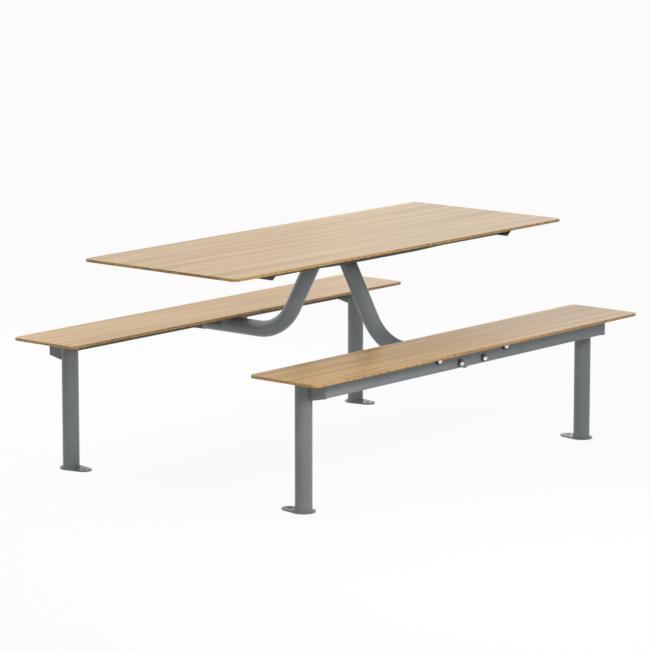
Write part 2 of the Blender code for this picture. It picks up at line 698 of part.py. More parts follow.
def add_head_bolts():
    """Flush bolts from above, through the pan and the head plate, into nuts."""
    grip = PAN_SHEET + GAP + HEAD_THICKNESS
    length = grip + GAP + HEAD_NUT_HEIGHT + HEAD_BOLT_TAIL
    nut_z = TABLE_SUPPORT_Z - grip - GAP - HEAD_NUT_HEIGHT / 2
    nut_hole = circle(0, 0, HEAD_BOLT_DIAMETER / 2 + GAP, HOLE_SIDES)
    labels = ("front_left", "rear_left", "front_right", "rear_right")
    for label, (x, y) in zip(labels, head_bolt_places()):
        bolt = turned_piece(f"head_bolt_{label}", countersunk_profile(0, length))
        place(bolt, NUT_STEEL, at(x, y, TABLE_SUPPORT_Z))
        nut = flat_piece(
            f"head_nut_{label}", hexagon(HEAD_NUT_ACROSS_FLATS), HEAD_NUT_HEIGHT, holes=(nut_hole,)
        )
        place(nut, NUT_STEEL, at(x, y, nut_z))


add_board("tabletop", TABLE_LENGTH, TABLE_WIDTH, TABLE_THICKNESS, 0, TABLE_HEIGHT, TABLE_WOOD)
for side_label, side_sign in SIDES:
    seat_name = f"seat_{side_label}"
    seat_y = side_sign * SEAT_Y
    add_board(seat_name, SEAT_LENGTH, SEAT_WIDTH, SEAT_THICKNESS, seat_y, SEAT_HEIGHT, SEAT_WOOD)
    add_beam(f"beam_{side_label}", side_sign)
    add_arm(f"arm_{side_label}", side_sign)
    add_arm_flange(f"arm_flange_{side_label}", side_sign)
    add_arm_socket(f"arm_socket_{side_label}", side_sign)
    add_bracket(f"seat_bracket_{side_label}", side_sign)
    add_arm_bolts(side_label, side_sign)
    add_rail(f"table_rail_{side_label}", side_sign)
    for end_label, end_sign in ENDS:
        corner = f"{side_label}_{end_label}"
        add_leg(f"leg_{corner}", end_sign * LEG_X, side_sign * LEG_Y)
        add_base_plate(f"base_plate_{corner}", end_sign * LEG_X, side_sign * LEG_Y, side_sign)
        add_leg_cap(f"leg_cap_{corner}", end_sign * LEG_X, side_sign * LEG_Y)
        add_end_plate(f"end_plate_{corner}", end_sign, side_sign)
for end_label, end_sign in ENDS:
    add_crossbar(f"table_crossbar_{end_label}", end_sign)
add_pan("table_pan")
add_head_plate("head_plate")
add_head_bolts()
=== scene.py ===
"""Looks of the table with attached benches: grained boards on a grey coated steel frame."""

import math

import bmesh
import bpy
from mathutils import Matrix, Vector


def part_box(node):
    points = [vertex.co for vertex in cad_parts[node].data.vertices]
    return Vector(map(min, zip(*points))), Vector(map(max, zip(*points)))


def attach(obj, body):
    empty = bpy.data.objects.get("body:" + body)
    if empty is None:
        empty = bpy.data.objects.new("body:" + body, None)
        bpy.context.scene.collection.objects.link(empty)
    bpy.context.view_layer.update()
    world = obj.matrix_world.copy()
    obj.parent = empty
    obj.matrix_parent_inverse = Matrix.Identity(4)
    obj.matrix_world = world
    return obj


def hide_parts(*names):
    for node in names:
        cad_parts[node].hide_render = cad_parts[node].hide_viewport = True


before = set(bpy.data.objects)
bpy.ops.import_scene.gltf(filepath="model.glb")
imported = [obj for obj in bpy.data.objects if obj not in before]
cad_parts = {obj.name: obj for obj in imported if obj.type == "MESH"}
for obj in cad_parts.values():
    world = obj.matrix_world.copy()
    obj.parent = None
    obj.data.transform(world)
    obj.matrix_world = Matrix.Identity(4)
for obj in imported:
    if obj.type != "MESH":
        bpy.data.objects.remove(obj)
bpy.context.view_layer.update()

# The benches by their side along Y, and the ends along X
SIDES = (("front", -1), ("rear", 1))
ENDS = (("left", -1), ("right", 1))
# Pieces of each side that keep the part's shape, and the form in their new names
EASED_FORMS = (("arm_flange", "plate"), ("arm_socket", "box"), ("seat_bracket", "sheet"))

# Sizes repeated from the part, in metres
BOARD_CORNER = 0.020
BOARD_ARRIS = 0.0015
TUBE_WALL = 0.003
BASE_HEEL_RADIUS = 0.039
BASE_TOE_RADIUS = 0.028
BASE_TOE_REACH = 0.057
ANCHOR_HOLE_RADIUS = 0.0075
LEG_CAP_CORNER = 0.012
BEAM_SHEET = 0.004
BEAM_LIP = 0.0225
BEAM_FOLD = 0.006
END_PLATE_DROP = 0.0135
BRACKET_SHEET = 0.004
CROSSBAR_SHEET = 0.005
ARM_RADIUS = 0.0285
ARM_RUN_Z = 0.3985
ARM_KNEE_Y = 0.224
ARM_RISE_ANGLE = math.radians(61)
ARM_BEND_RADIUS = 0.176
BOLT_RADIUS = 0.006
BOLT_COLLAR_RADIUS = 0.0132
BOLT_COLLAR_HEIGHT = 0.0055
BOLT_DOME_RADIUS = 0.009
BOLT_HEAD_HEIGHT = 0.0135
BOLT_DOME_RIM = 0.001
NUT_HEIGHT = 0.010
HEAD_BOLT_RADIUS = 0.004
HEAD_NUT_HEIGHT = 0.0065

# Sizes of what is added here, in metres: eased edges, weld beads and screw heads
PLATE_ARRIS = 0.0006
BASE_ARRIS = 0.0012
NUT_ARRIS = 0.0008
BOLT_POINT = 0.001
COLLAR_PLAY = 0.0003
FOOT_BEAD = 0.0038
HEAD_BEAD = 0.0034
SOCKET_BEAD = 0.0020
SEAM_BEAD = 0.0022
SCREW_RADIUS = 0.0055
SCREW_HEIGHT = 0.0028
SCREW_RECESS_RADIUS = 0.0022
SCREW_RECESS_DEPTH = 0.0016
SCREW_INSET = 0.0135
# The crown of a screw head, in shares of its radius and height
SCREW_CROWN = ((1.0, 0.4), (0.8, 0.85), (0.5, 1.0))
# Where screws sit, in shares of the way from the middle to the end of a piece
BEAM_SCREWS = (-0.73, -0.40, 0.40, 0.73)
RAIL_SCREWS = (-0.80, -0.32, 0.32, 0.80)
CROSSBAR_SCREWS = (-0.78, -0.26, 0.26, 0.78)

# How finely round shapes are divided
TUBE_SIDES = 72
BEND_STEPS = 36
CORNER_STEPS = 10
ARRIS_STEPS = 3
WELD_SIDES = 12
FOLD_STEPS = 8
HOLE_SIDES = 40
DOME_STEPS = 10

# Angles that tell a rim from a round, and lengths that count as the same
QUARTER_TURN = math.pi / 2
SHARP_ANGLE = math.radians(40)
RIM_ANGLE = math.radians(50)
FLAT_ANGLE = math.radians(1)
MERGE_DISTANCE = 0.000005
SAME_LENGTH = 0.0001

# Colours of the finishes, as linear red, green and blue
WOOD_LIGHT = (0.576, 0.395, 0.195)
WOOD_DARK = (0.398, 0.253, 0.111)
SEAT_LIGHT = (0.612, 0.401, 0.178)
SEAT_DARK = (0.424, 0.257, 0.101)
WOOD_PORE = (0.245, 0.140, 0.055)
EDGE_LIGHT = (0.500, 0.292, 0.092)
EDGE_DARK = (0.170, 0.085, 0.024)
COAT_GREY = (0.127, 0.142, 0.149)
COAT_GREY_PALE = (0.152, 0.169, 0.176)
# Near-black grey of the frame under the tabletop: partly the frame's own dark coat, partly painted shade
# of the tabletop above it
DARK_PAINT_AND_SHADE_GREY = (0.017, 0.020, 0.024)
DARK_PAINT_AND_SHADE_GREY_PALE = (0.026, 0.030, 0.035)
COLLAR_GREY = (0.030, 0.032, 0.034)
COLLAR_GREY_PALE = (0.045, 0.047, 0.049)
STEEL_BRIGHT = (0.860, 0.865, 0.880)
STEEL_DULL = (0.680, 0.685, 0.695)
FLOOR_PALE = (0.660, 0.660, 0.660)
FLOOR_MARK = (0.640, 0.640, 0.640)
WHITE = (1.0, 1.0, 1.0)

# Patterns in the finishes: how fine along X, Y and Z, per metre, and how much finer detail is added
GRAIN_DRIFT = ((0.8, 5.0, 5.0), 2.0)
GRAIN_BANDS = ((0.4, 9.0, 9.0), 2.0)
GRAIN_STREAKS = ((0.7, 44.0, 44.0), 3.0)
GRAIN_LINES = ((1.8, 230.0, 230.0), 3.0)
GRAIN_PORES = ((14.0, 900.0, 900.0), 1.0)
EDGE_FLECKS = ((60.0, 60.0, 420.0), 3.0)
EDGE_LAYERS = ((3.0, 3.0, 700.0), 1.0)
COAT_CLOUDS = ((7.0, 7.0, 7.0), 3.0)
COAT_SPECKS = ((2600.0, 2600.0, 2600.0), 1.0)
COAT_PEEL = ((700.0, 700.0, 700.0), 2.0)
WELD_LUMPS = ((240.0, 240.0, 240.0), 1.0)
STEEL_CLOUDS = ((90.0, 90.0, 90.0), 3.0)
STEEL_SCRATCHES = ((2200.0, 300.0, 300.0), 2.0)
FLOOR_SPECKS = ((40.0, 40.0, 40.0), 4.0)
NO_SHIFT = (0.0, 0.0, 0.0)
SEAT_GRAIN_SHIFT = (3.7, 1.9, 0.4)
PATTERN_MIDDLE = 0.5
GRAIN_SWAY = 0.03

# How patterns make a colour: each one's share, and the levels between which a colour turns into the next
BAND_SHARE = 0.22
STREAK_SHARE = 0.48
LINE_SHARE = 0.30
TONE_LEVELS = (0.40, 0.60)
PORE_LEVELS = (0.60, 0.74)
PORE_SHARE = 0.14
FLECK_SHARE = 0.65
LAYER_SHARE = 0.35
EDGE_LEVELS = (0.40, 0.58)
FLAT_LEVELS = (0.55, 0.90)
CLOUD_SHARE = 0.6
SPECK_SHARE = 0.4
CLOUD_LEVELS = (0.30, 0.70)

# Roughness, and what a pattern adds to it
LACQUER_ROUGHNESS = 0.33
LINE_ROUGHNESS = 0.10
EDGE_ROUGHNESS = 0.10
COAT_ROUGHNESS = 0.24
PEEL_ROUGHNESS = 0.10
DOME_ROUGHNESS = 0.24
NUT_ROUGHNESS = 0.26
SCRATCH_ROUGHNESS = 0.12
FLOOR_ROUGHNESS = 0.9

# Fine relief: the height that each pattern has, then a finish's strength and its depth in metres
LINE_HEIGHT = 0.6
PORE_HEIGHT = 0.4
PEEL_HEIGHT = 0.14
LUMP_HEIGHT = 2.5
WOOD_RELIEF = (0.10, 0.0006)
COAT_RELIEF = (1.0, 0.0004)
STEEL_RELIEF = (0.05, 0.0002)

# The Mix node's sockets for colours
MIX_SHARE, MIX_FIRST, MIX_SECOND, MIX_RESULT = 0, 6, 7, 2

# The studio: its floor, the even surroundings, and how white both are where they are seen
FLOOR_REACH = 60.0
FLOOR_CELLS = 8
FLOOR_SHOWN = 0.93
SURROUND_LIGHT = 0.66
PLAIN_WHITE = 1.0
# Each lamp's power, size, place, the point it faces, and whether gloss shows it
LAMPS = (
    ("front_softbox", 34.0, 0.4, (-1.10, -2.30, 1.45), (-0.60, -0.55, 0.35), False),
    ("back_softbox", 43.0, 1.2, (0.10, 2.40, 2.10), (0.00, 0.10, 0.70), False),
    ("side_panel", 13.0, 3.0, (6.00, 3.20, 1.60), (0.20, 0.00, 0.75), True),
)

# The camera: sensor and lens in millimetres, place and reach in metres, and the angles it looks from
CAMERA_SENSOR = 36.0
CAMERA_LENS = 199.35
CAMERA_PLACE = (-9.3412, -7.7807, 2.5889)
CAMERA_REACH = 200.0
CAMERA_AZIMUTH = math.radians(-50.103)
CAMERA_ELEVATION = math.radians(9.989)


class Wire:
    """A shader socket that Python arithmetic can use: each operator adds a Math node."""

    def __init__(self, finish, socket):
        self.finish = finish
        self.socket = socket

    def maths(self, operation, first, second):
        return self.finish.node("ShaderNodeMath", {"operation": operation}, {0: first, 1: second})

    def __add__(self, other):
        return self.maths("ADD", self, other)

    def __radd__(self, other):
        return self.maths("ADD", other, self)

    def __sub__(self, other):
        return self.maths("SUBTRACT", self, other)

    def __rsub__(self, other):
        return self.maths("SUBTRACT", other, self)

    def __mul__(self, other):
        return self.maths("MULTIPLY", self, other)

    def __rmul__(self, other):
        return self.maths("MULTIPLY", other, self)

    def __abs__(self):
        return self.maths("ABSOLUTE", self, 0.0)

    def larger(self, other):
        return self.maths("MAXIMUM", self, other)

    def rise(self, low, high):
        """0 below low and 1 above high, with a smooth step between them."""
        settings = {"interpolation_type": "SMOOTHSTEP"}
        sockets = {"Value": self, "From Min": low, "From Max": high}
        return self.finish.node("ShaderNodeMapRange", settings, sockets)


class Finish:
    """The shader nodes of one material, or of the surroundings."""

    def __init__(self, holder):
        holder.use_nodes = True
        self.holder = holder
        self.tree = holder.node_tree

    def feed(self, socket, value):
        if isinstance(value, Wire):
            self.tree.links.new(value.socket, socket)
        elif socket.type == "RGBA":
            socket.default_value = (*value, 1.0)
        else:
            socket.default_value = value

    def node(self, kind, settings, sockets, output=0):
        """Adds one node: its settings first, then the values or links of its sockets."""
        made = self.tree.nodes.new(kind)
        for key, value in settings.items():
            setattr(made, key, value)
        for key, value in sockets.items():
            self.feed(made.inputs[key], value)
        return Wire(self, made.outputs[output])

    def mix(self, share, first, second):
        """A colour between two others."""
        sockets = {MIX_SHARE: share, MIX_FIRST: first, MIX_SECOND: second}
        return self.node("ShaderNodeMix", {"data_type": "RGBA"}, sockets, MIX_RESULT)

    def place(self):
        return self.node("ShaderNodeTexCoord", {}, {}, "Object")

    def facing_up(self):
        """How far a surface faces straight up or down, from 0 to 1."""
        normal = self.node("ShaderNodeNewGeometry", {}, {}, "Normal")
        return abs(self.node("ShaderNodeSeparateXYZ", {}, {0: normal}, "Z"))

    def noise(self, place, pattern, shift=NO_SHIFT):
        """Soft noise, as fine along X, Y and Z as its pattern says."""
        per_metre, detail = pattern
        sockets = {"Vector": place, "Location": shift, "Scale": per_metre}
        spread = self.node("ShaderNodeMapping", {}, sockets)
        return self.node("ShaderNodeTexNoise", {}, {"Vector": spread, "Scale": 1.0, "Detail": detail})

    def bump(self, height, strength, depth):
        sockets = {"Height": height, "Strength": strength, "Distance": depth}
        return self.node("ShaderNodeBump", {}, sockets)

    def surface(self, **sockets):
        """Sets the sockets of the material's own shader."""
        shader = self.tree.nodes["Principled BSDF"]
        for key, value in sockets.items():
            self.feed(shader.inputs[key.replace("_", " ")], value)
        return self.holder


def new_finish(name):
    return Finish(bpy.data.materials.new(name))


def board_wood(name, light, dark, shift):
    """Straight-grained boards with golden edges and a satin lacquer."""
    finish = new_finish(name)
    place = finish.place()
    drift = finish.noise(place, GRAIN_DRIFT, shift)
    sway = finish.node("ShaderNodeCombineXYZ", {}, {"Y": (drift - PATTERN_MIDDLE) * GRAIN_SWAY})
    grown = finish.node("ShaderNodeVectorMath", {"operation": "ADD"}, {0: place, 1: sway})
    bands = finish.noise(grown, GRAIN_BANDS, shift)
    streaks = finish.noise(grown, GRAIN_STREAKS, shift)
    lines = finish.noise(grown, GRAIN_LINES, shift)
    pores = finish.noise(grown, GRAIN_PORES, shift).rise(*PORE_LEVELS)
    tone = bands * BAND_SHARE + streaks * STREAK_SHARE + lines * LINE_SHARE
    face = finish.mix(tone.rise(*TONE_LEVELS), dark, light)
    face = finish.mix(pores * PORE_SHARE, face, WOOD_PORE)
    flecks = finish.noise(place, EDGE_FLECKS, shift)
    layers = finish.noise(place, EDGE_LAYERS, shift)
    speckle = flecks * FLECK_SHARE + layers * LAYER_SHARE
    edge = finish.mix(speckle.rise(*EDGE_LEVELS), EDGE_DARK, EDGE_LIGHT)
    flat = finish.facing_up().rise(*FLAT_LEVELS)
    return finish.surface(
        Base_Color=finish.mix(flat, edge, face),
        Roughness=LACQUER_ROUGHNESS + LINE_ROUGHNESS * lines + EDGE_ROUGHNESS * (1.0 - flat),
        Normal=finish.bump(lines * LINE_HEIGHT + (1.0 - pores) * PORE_HEIGHT, *WOOD_RELIEF),
    )


def coated_steel(name, grey, pale, lump_height=0.0):
    """Powder coat: an orange-peel skin over slightly clouded grey, lumpy where it covers a weld."""
    finish = new_finish(name)
    place = finish.place()
    clouds = finish.noise(place, COAT_CLOUDS)
    specks = finish.noise(place, COAT_SPECKS)
    peel = finish.noise(place, COAT_PEEL)
    shade = clouds * CLOUD_SHARE + specks * SPECK_SHARE
    height = peel * PEEL_HEIGHT
    if lump_height:
        height = height + finish.noise(place, WELD_LUMPS) * lump_height
    return finish.surface(
        Base_Color=finish.mix(shade.rise(*CLOUD_LEVELS), grey, pale),
        Roughness=COAT_ROUGHNESS + PEEL_ROUGHNESS * peel,
        Normal=finish.bump(height, *COAT_RELIEF),
    )


def bare_steel(name, colour, roughness, bright=None):
    """Stainless steel with fine scratches, and bright clouds where it is polished."""
    finish = new_finish(name)
    place = finish.place()
    scratches = finish.noise(place, STEEL_SCRATCHES)
    if bright:
        clouds = finish.noise(place, STEEL_CLOUDS)
        colour = finish.mix(clouds.rise(*CLOUD_LEVELS), colour, bright)
    return finish.surface(
        Base_Color=colour,
        Metallic=1.0,
        Roughness=roughness + SCRATCH_ROUGHNESS * scratches,
        Normal=finish.bump(scratches, *STEEL_RELIEF),
    )


TABLE_WOOD = board_wood("tabletop_wood", WOOD_LIGHT, WOOD_DARK, NO_SHIFT)
SEAT_WOOD = board_wood("seat_wood", SEAT_LIGHT, SEAT_DARK, SEAT_GRAIN_SHIFT)
TUBE_COAT = coated_steel("tube_grey_coat", COAT_GREY, COAT_GREY_PALE)
SHEET_COAT = coated_steel("sheet_grey_coat", COAT_GREY, COAT_GREY_PALE)
BASE_COAT = coated_steel("base_grey_coat", COAT_GREY, COAT_GREY_PALE)
# The frame under the tabletop: its own dark coat, darkened further with painted shade of the tabletop
# above
DARK_PAINT_AND_SHADE_COAT = coated_steel("under_table_dark_coat", DARK_PAINT_AND_SHADE_GREY, DARK_PAINT_AND_SHADE_GREY_PALE)
WELD_COAT = coated_steel("weld_grey_coat", COAT_GREY, COAT_GREY_PALE, LUMP_HEIGHT)
COLLAR_COAT = coated_steel("bolt_collar_coat", COLLAR_GREY, COLLAR_GREY_PALE)
DOME_STEEL = bare_steel("dome_bolt_steel", STEEL_DULL, DOME_ROUGHNESS, STEEL_BRIGHT)
NUT_STEEL = bare_steel("nut_steel", STEEL_DULL, NUT_ROUGHNESS)


def add_piece(name, solid, finish, slot, *nodes):
    """Makes a piece from its solid: shaded round, riding on the root, in place of its nodes."""
    mesh = bpy.data.meshes.new(name)
    solid.to_mesh(mesh)
    solid.free()
    mesh.shade_smooth()
    mesh.set_sharp_from_angle(angle=SHARP_ANGLE)
    mesh.materials.append(finish)
    piece = bpy.data.objects.new(name, mesh)
    bpy.context.scene.collection.objects.link(piece)
    level = piece.modifiers.new("level_faces", "WEIGHTED_NORMAL")
    level.keep_sharp = True
    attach(piece, "root")
    if nodes:
        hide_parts(*nodes)


def points_of(parts):
    return [part for part in parts if isinstance(part, bmesh.types.BMVert)]


def edges_of(parts):
    return [part for part in parts if isinstance(part, bmesh.types.BMEdge)]


def ease(solid, edges, width, steps):
    bmesh.ops.bevel(
        solid, geom=edges, offset=width, segments=steps, profile=0.5, affect="EDGES", material=-1
    )


def rims(solid):
    """The edges where two faces meet at a sharp angle."""
    return [edge for edge in solid.edges if edge.is_manifold and edge.calc_face_angle() > RIM_ANGLE]


def pull(solid, edges, way):
    """Draws edges out into new faces, and gives the edges that lead."""
    grown = bmesh.ops.extrude_edge_only(solid, edges=edges)["geom"]
    bmesh.ops.translate(solid, verts=points_of(grown), vec=way)
    return edges_of(grown)


def move(solid, matrix):
    bmesh.ops.transform(solid, matrix=matrix, verts=solid.verts)
    return solid


def outward(solid):
    """Joins points that meet, and turns every face to look out."""
    bmesh.ops.remove_doubles(solid, verts=solid.verts, dist=MERGE_DISTANCE)
    bmesh.ops.recalc_face_normals(solid, faces=solid.faces)
    return solid


def turned(profile, closed):
    """A turned solid from a few points of (radius, height), spun once round Z."""
    solid = bmesh.new()
    points = [solid.verts.new((radius, 0, height)) for radius, height in profile]
    pairs = list(zip(points, points[1:]))
    if closed:
        pairs.append((points[-1], points[0]))
    edges = [solid.edges.new(pair) for pair in pairs]
    bmesh.ops.spin(
        solid, geom=points + edges, cent=(0, 0, 0), axis=(0, 0, 1), angle=math.tau,
        steps=TUBE_SIDES, use_merge=True,
    )
    return outward(solid)


def rounded_outline(corners, radius):
    """The closed outline of a plate on XY, with its corners rounded."""
    solid = bmesh.new()
    points = [solid.verts.new((x, y, 0)) for x, y in corners]
    solid.faces.new(points)
    if radius:
        bmesh.ops.bevel(
            solid, geom=points, offset=radius, segments=CORNER_STEPS, profile=0.5,
            affect="VERTICES", material=-1,
        )
    bmesh.ops.delete(solid, geom=solid.faces[:], context="FACES_ONLY")
    return solid


def thickened(solid, thickness, arris, holes=()):
    """Fills an outline round its holes of (X, Y, radius), draws it up and eases the rims."""
    for x, y, radius in holes:
        bmesh.ops.create_circle(
            solid, cap_ends=False, segments=HOLE_SIDES, radius=radius,
            matrix=Matrix.Translation((x, y, 0)),
        )
    bmesh.ops.triangle_fill(solid, use_beauty=True, edges=solid.edges[:], normal=(0, 0, 1))
    grown = bmesh.ops.extrude_face_region(solid, geom=solid.faces[:])["geom"]
    bmesh.ops.translate(solid, verts=points_of(grown), vec=(0, 0, thickness))
    outward(solid)
    ease(solid, rims(solid), arris, ARRIS_STEPS)
    return solid


def rectangle(low, high):
    return [(low.x, low.y), (high.x, low.y), (high.x, high.y), (low.x, high.y)]


def outer_and_inner(low, high, side):
    """A box's Y on the side away from the table's middle, and on the side towards it."""
    return (low.y, high.y) if side < 0 else (high.y, low.y)


def along_y(side):
    """Stands a piece that was made along Z so that its top looks outward along Y."""
    return Matrix.Rotation(-side * QUARTER_TURN, 4, "X")


def add_plate(name, node, corner, arris, finish, slot):
    """A level plate with rounded corners, as large as its node."""
    low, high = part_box(node)
    solid = rounded_outline(rectangle(low, high), corner)
    thickened(solid, high.z - low.z, arris)
    move(solid, Matrix.Translation((0, 0, low.z)))
    add_piece(name, solid, finish, slot, node)


def add_leg(name, node):
    """Makes the tube, and gives its place, radius, foot and top."""
    low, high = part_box(node)
    outer = (high.x - low.x) / 2
    inner = outer - TUBE_WALL
    profile = [(outer, low.z), (outer, high.z), (inner, high.z), (inner, low.z)]
    middle = (low + high) / 2
    solid = move(turned(profile, closed=True), Matrix.Translation((middle.x, middle.y, 0)))
    add_piece(name, solid, TUBE_COAT, "tube_coat", node)
    return middle.x, middle.y, outer, low.z, high.z


def add_base_plate(name, node, leg_x, leg_y, side):
    """A round heel under the leg and a smaller toe with the anchor hole, joined by their tangents."""
    low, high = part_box(node)
    lean = math.acos((BASE_HEEL_RADIUS - BASE_TOE_RADIUS) / BASE_TOE_REACH)
    solid = bmesh.new()
    ends = []
    for x, radius, start, sweep in (
        (0, BASE_HEEL_RADIUS, lean, math.tau - 2 * lean),
        (BASE_TOE_REACH, BASE_TOE_RADIUS, -lean, 2 * lean),
    ):
        first = solid.verts.new((x + radius * math.cos(start), radius * math.sin(start), 0))
        arc = bmesh.ops.spin(
            solid, geom=[first], cent=(x, 0, 0), axis=(0, 0, 1), angle=sweep, steps=HOLE_SIDES
        )
        ends.append((first, points_of(arc["geom_last"])[0]))
    (heel_first, heel_last), (toe_first, toe_last) = ends
    solid.edges.new((heel_last, toe_first))
    solid.edges.new((toe_last, heel_first))
    thickened(solid, high.z - low.z, BASE_ARRIS, [(BASE_TOE_REACH, 0, ANCHOR_HOLE_RADIUS)])
    turn = Matrix.Rotation(-side * QUARTER_TURN, 4, "Z")
    move(solid, Matrix.Translation((leg_x, leg_y, low.z)) @ turn)
    add_piece(name, solid, BASE_COAT, "base_coat", node)


def add_end_plate(name, node, side):
    """It hangs lower at the leg than at the beam's outer face."""
    low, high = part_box(node)
    outer, inner = outer_and_inner(low, high, side)
    corners = [(outer, low.z + END_PLATE_DROP), (outer, high.z), (inner, high.z), (inner, low.z)]
    solid = thickened(rounded_outline(corners, 0), high.x - low.x, PLATE_ARRIS)
    stand = Matrix.Rotation(QUARTER_TURN, 4, "Z") @ Matrix.Rotation(QUARTER_TURN, 4, "X")
    move(solid, Matrix.Translation((low.x, 0, 0)) @ stand)
    add_piece(name, solid, SHEET_COAT, "sheet_coat", node)


def folded(corners, low_x, high_x, fold):
    """A sheet's outer face through (Y, Z) corners, run along X and rounded at its folds."""
    solid = bmesh.new()
    points = [solid.verts.new((low_x, y, z)) for y, z in corners]
    edges = [solid.edges.new(pair) for pair in zip(points, points[1:])]
    pull(solid, edges, (high_x - low_x, 0, 0))
    ease(solid, [edge for edge in solid.edges if len(edge.link_faces) == 2], fold, FOLD_STEPS)
    return solid


def thicken_sheet(solid, thickness, inside):
    """Gives a folded face its thickness, towards a point on its inner side."""
    bmesh.ops.recalc_face_normals(solid, faces=solid.faces)
    facing = sum((face.calc_center_median() - inside).dot(face.normal) for face in solid.faces)
    if facing < 0:
        bmesh.ops.reverse_faces(solid, faces=solid.faces)
    bmesh.ops.solidify(solid, geom=solid.faces[:], thickness=thickness)
    return solid


def add_beam(name, node, side):
    """A channel: top flange, web on the outer side, and a short lip below."""
    low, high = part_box(node)
    outer, inner = outer_and_inner(low, high, side)
    lip = outer - side * BEAM_LIP
    corners = [(lip, low.z), (outer, low.z), (outer, high.z), (inner, high.z)]
    solid = folded(corners, low.x, high.x, BEAM_FOLD)
    thicken_sheet(solid, BEAM_SHEET, (low + high) / 2)
    add_piece(name, solid, SHEET_COAT, "sheet_coat", node)


def add_arm(name, node, side):
    """A tube drawn level from the bench, bent up, and cut level under the head plate."""
    low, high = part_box(node)
    outer, _ = outer_and_inner(low, high, side)
    end_y = side * outer
    bend_y = ARM_KNEE_Y + ARM_BEND_RADIUS * math.tan(ARM_RISE_ANGLE / 2)
    solid = bmesh.new()
    facing = Matrix.Translation((0, end_y, ARM_RUN_Z)) @ Matrix.Rotation(QUARTER_TURN, 4, "X")
    bmesh.ops.create_circle(
        solid, cap_ends=False, segments=TUBE_SIDES, radius=ARM_RADIUS, matrix=facing
    )
    ring = pull(solid, solid.edges[:], (0, bend_y - end_y, 0))
    ring_points = list({vertex for edge in ring for vertex in edge.verts})
    bend = bmesh.ops.spin(
        solid, geom=ring_points + ring, cent=(0, bend_y, ARM_RUN_Z + ARM_BEND_RADIUS),
        axis=(1, 0, 0), angle=-ARM_RISE_ANGLE, steps=BEND_STEPS,
    )
    rise = high.z - ARM_RUN_Z
    way = (0, -rise * math.cos(ARM_RISE_ANGLE), rise * math.sin(ARM_RISE_ANGLE))
    pull(solid, edges_of(bend["geom_last"]), way)
    whole = solid.verts[:] + solid.edges[:] + solid.faces[:]
    bmesh.ops.bisect_plane(
        solid, geom=whole, plane_co=(0, 0, high.z), plane_no=(0, 0, 1), clear_outer=True
    )
    bmesh.ops.scale(solid, vec=(1, side, 1), verts=solid.verts)
    outward(solid)
    bmesh.ops.solidify(solid, geom=solid.faces[:], thickness=TUBE_WALL)
    add_piece(name, solid, TUBE_COAT, "tube_coat", node)


def add_dome_bolt(label, node, side):
    """A bright dome and its shank, on a dark collar."""
    low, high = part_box(node)
    rise = BOLT_HEAD_HEIGHT - BOLT_COLLAR_HEIGHT - BOLT_DOME_RIM
    ball = (BOLT_DOME_RADIUS ** 2 + rise ** 2) / (2 * rise)
    centre = BOLT_HEAD_HEIGHT - ball
    widest = math.asin(BOLT_DOME_RADIUS / ball)
    turns = [widest * step / DOME_STEPS for step in range(DOME_STEPS + 1)]
    profile = [(ball * math.sin(turn), centre + ball * math.cos(turn)) for turn in turns]
    tail = BOLT_HEAD_HEIGHT - (high.y - low.y)
    profile += [
        (BOLT_DOME_RADIUS, BOLT_COLLAR_HEIGHT), (BOLT_RADIUS, BOLT_COLLAR_HEIGHT),
        (BOLT_RADIUS, tail + BOLT_POINT), (BOLT_RADIUS - BOLT_POINT, tail), (0, tail),
    ]
    middle = (low + high) / 2
    outer, _ = outer_and_inner(low, high, side)
    seat = (middle.x, outer - side * BOLT_HEAD_HEIGHT, middle.z)
    stand = Matrix.Translation(seat) @ along_y(side)
    dome = move(turned(profile, closed=False), stand)
    add_piece(f"dome_bolt_{label}", dome, DOME_STEEL, "dome_steel", node)
    bore = BOLT_RADIUS + COLLAR_PLAY
    top = BOLT_COLLAR_HEIGHT - COLLAR_PLAY
    profile = [(bore, 0), (BOLT_COLLAR_RADIUS, 0), (BOLT_COLLAR_RADIUS, top), (bore, top)]
    collar = turned(profile, closed=True)
    ease(collar, rims(collar), COLLAR_PLAY, ARRIS_STEPS)
    add_piece(f"bolt_collar_{label}", move(collar, stand), COLLAR_COAT, "under_coat", node)


def hexagon(across_flats):
    corner = across_flats / math.sqrt(3)
    turns = [math.tau * step / 6 for step in range(6)]
    return [(corner * math.cos(turn), corner * math.sin(turn)) for turn in turns]


def add_nut(name, node, height, bore, stand):
    """A hexagon nut: of its two sizes that are not its height, the smaller is across the flats."""
    low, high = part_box(node)
    sizes = [end - start for start, end in zip(low, high)]
    across = min(size for size in sizes if abs(size - height) > SAME_LENGTH)
    solid = thickened(rounded_outline(hexagon(across), 0), height, NUT_ARRIS, [(0, 0, bore)])
    move(solid, Matrix.Translation((low + high) / 2) @ stand @ Matrix.Translation((0, 0, -height / 2)))
    add_piece(name, solid, NUT_STEEL, "nut_steel", node)


def add_eased_copy(name, node, finish, slot):
    """A node whose shape is right already, with its sharp edges eased."""
    solid = bmesh.new()
    solid.from_mesh(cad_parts[node].data)
    bmesh.ops.remove_doubles(solid, verts=solid.verts, dist=MERGE_DISTANCE)
    bmesh.ops.dissolve_limit(solid, angle_limit=FLAT_ANGLE, verts=solid.verts, edges=solid.edges)
    ease(solid, rims(solid), PLATE_ARRIS, ARRIS_STEPS)
    add_piece(name, solid, finish, slot, node)


def add_weld_ring(name, radius, bead, stand):
    """The bead round the end of a tube."""
    turns = [math.tau * step / WELD_SIDES for step in range(WELD_SIDES)]
    profile = [(radius + bead * math.cos(turn), bead * math.sin(turn)) for turn in turns]
    add_piece(name, move(turned(profile, closed=True), stand), WELD_COAT, "tube_coat")


